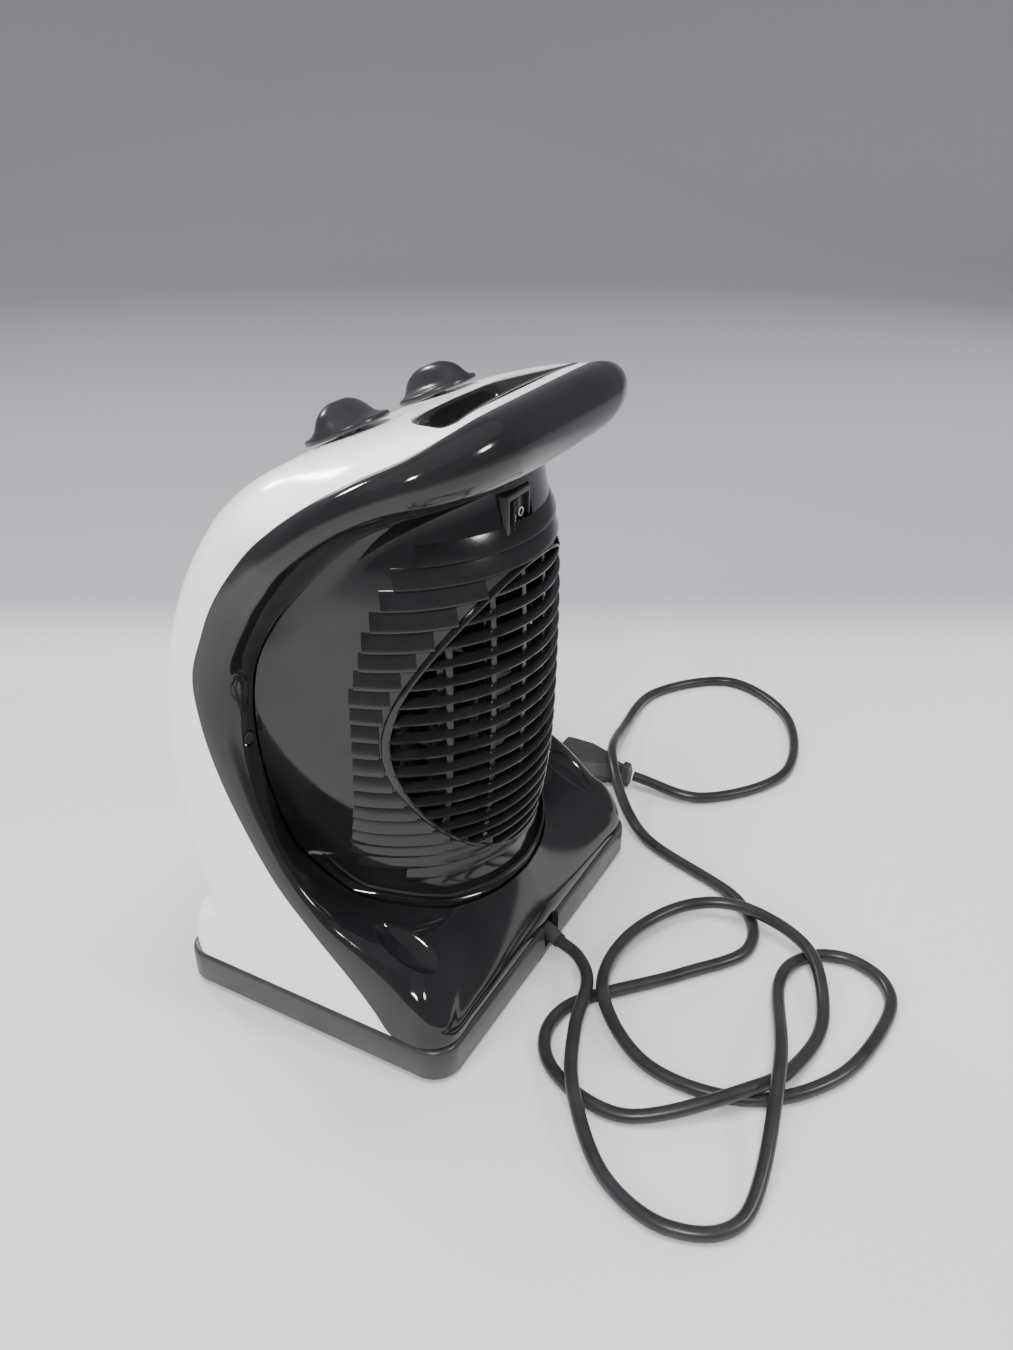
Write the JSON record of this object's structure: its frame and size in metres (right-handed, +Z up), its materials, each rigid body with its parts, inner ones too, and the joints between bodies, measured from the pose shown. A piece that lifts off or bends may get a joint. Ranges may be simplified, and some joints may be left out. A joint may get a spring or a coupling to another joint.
{
  "type": "ceramic space heater",
  "caption": "Tabletop ceramic fan heater with a white front shell, black rear frame with carry handle, louvred round back, two top knobs, rear rocker switch and mains cord.",
  "frame": {"origin": "centre of the heater's footprint on the floor, without its cord", "axes": "+Z up, the hot-air outlet faces -Y, the louvred back and the cord face +Y"},
  "size_m": [0.4227, 0.3161, 0.2826],
  "materials": {
    "white_gloss": "gloss",
    "black_gloss": "gloss",
    "black_satin": "satin",
    "black_rubber": "matte",
    "cord_pvc": "satin",
    "grey_nylon": "matte",
    "zinc_steel": "satin",
    "nickel_brass": "polished",
    "aluminium_fin": "satin"
  },
  "bodies": {
    "housing": {"base_screw_1": "zinc_steel", "base_screw_2": "zinc_steel", "base_tray": "black_satin", "cord_clamp": "grey_nylon", "cord_gland": "black_rubber", "cover_screw_1": "zinc_steel", "cover_screw_2": "zinc_steel", "cover_screw_3": "zinc_steel", "cover_screw_4": "zinc_steel", "fan_motor": "zinc_steel", "fan_shroud": "black_gloss", "front_bezel": "black_gloss", "front_grille": "black_gloss", "front_shell": "white_gloss", "function_switch": "grey_nylon", "grip_pocket": "black_gloss", "heater_frame": "grey_nylon", "intake_guard": "black_gloss", "motor_bracket": "zinc_steel", "plug_body": "cord_pvc", "plug_pin_1": "nickel_brass", "plug_pin_2": "nickel_brass", "power_cord": "cord_pvc", "ptc_element_1": "aluminium_fin", "ptc_element_2": "aluminium_fin", "ptc_element_3": "aluminium_fin", "rear_cover": "black_gloss", "rear_frame": "black_gloss", "rocker_housing": "black_gloss", "rubber_foot_1": "black_rubber", "rubber_foot_2": "black_rubber", "rubber_foot_3": "black_rubber", "rubber_foot_4": "black_rubber", "skirt_screw_1": "zinc_steel", "skirt_screw_2": "zinc_steel", "terminal_block": "grey_nylon", "thermal_cutout": "zinc_steel", "thermostat": "grey_nylon", "tip_switch": "black_gloss"},
    "fan": {"fan_rotor": "grey_nylon", "motor_shaft": "zinc_steel"},
    "thermostat_knob": {"knob_thermostat": "black_gloss", "thermostat_shaft": "zinc_steel"},
    "function_knob": {"knob_function": "black_gloss", "function_switch_shaft": "zinc_steel"},
    "rocker_button": {"rocker": "black_gloss"},
    "tip_button": {"tip_plunger": "grey_nylon"}
  },
  "joints": [
    {"name": "fan_spin", "type": "hinge", "parent": "housing", "child": "fan", "pos_m": [0, 0, 0.132], "axis": [0, 1, 0], "continuous": true},
    {"name": "thermostat_turn", "type": "hinge", "parent": "housing", "child": "thermostat_knob", "pos_m": [0.0335, -0.0026, 0.2633], "axis": [0, -0.4067, 0.9135], "range_deg": [0, 270]},
    {"name": "function_turn", "type": "hinge", "parent": "housing", "child": "function_knob", "pos_m": [-0.0335, -0.0026, 0.2633], "axis": [0, -0.4067, 0.9135], "range_deg": [0, 180]},
    {"name": "rocker_tip", "type": "hinge", "parent": "housing", "child": "rocker_button", "pos_m": [0.009, 0.0534, 0.232], "axis": [0, 0, -1], "range_deg": [0, 24]},
    {"name": "tip_slide", "type": "slide", "parent": "housing", "child": "tip_button", "axis": [0, 0, -1], "range_m": [0, 0.004], "stiffness_N_per_m": 120, "springref_m": 0.006}
  ]
}
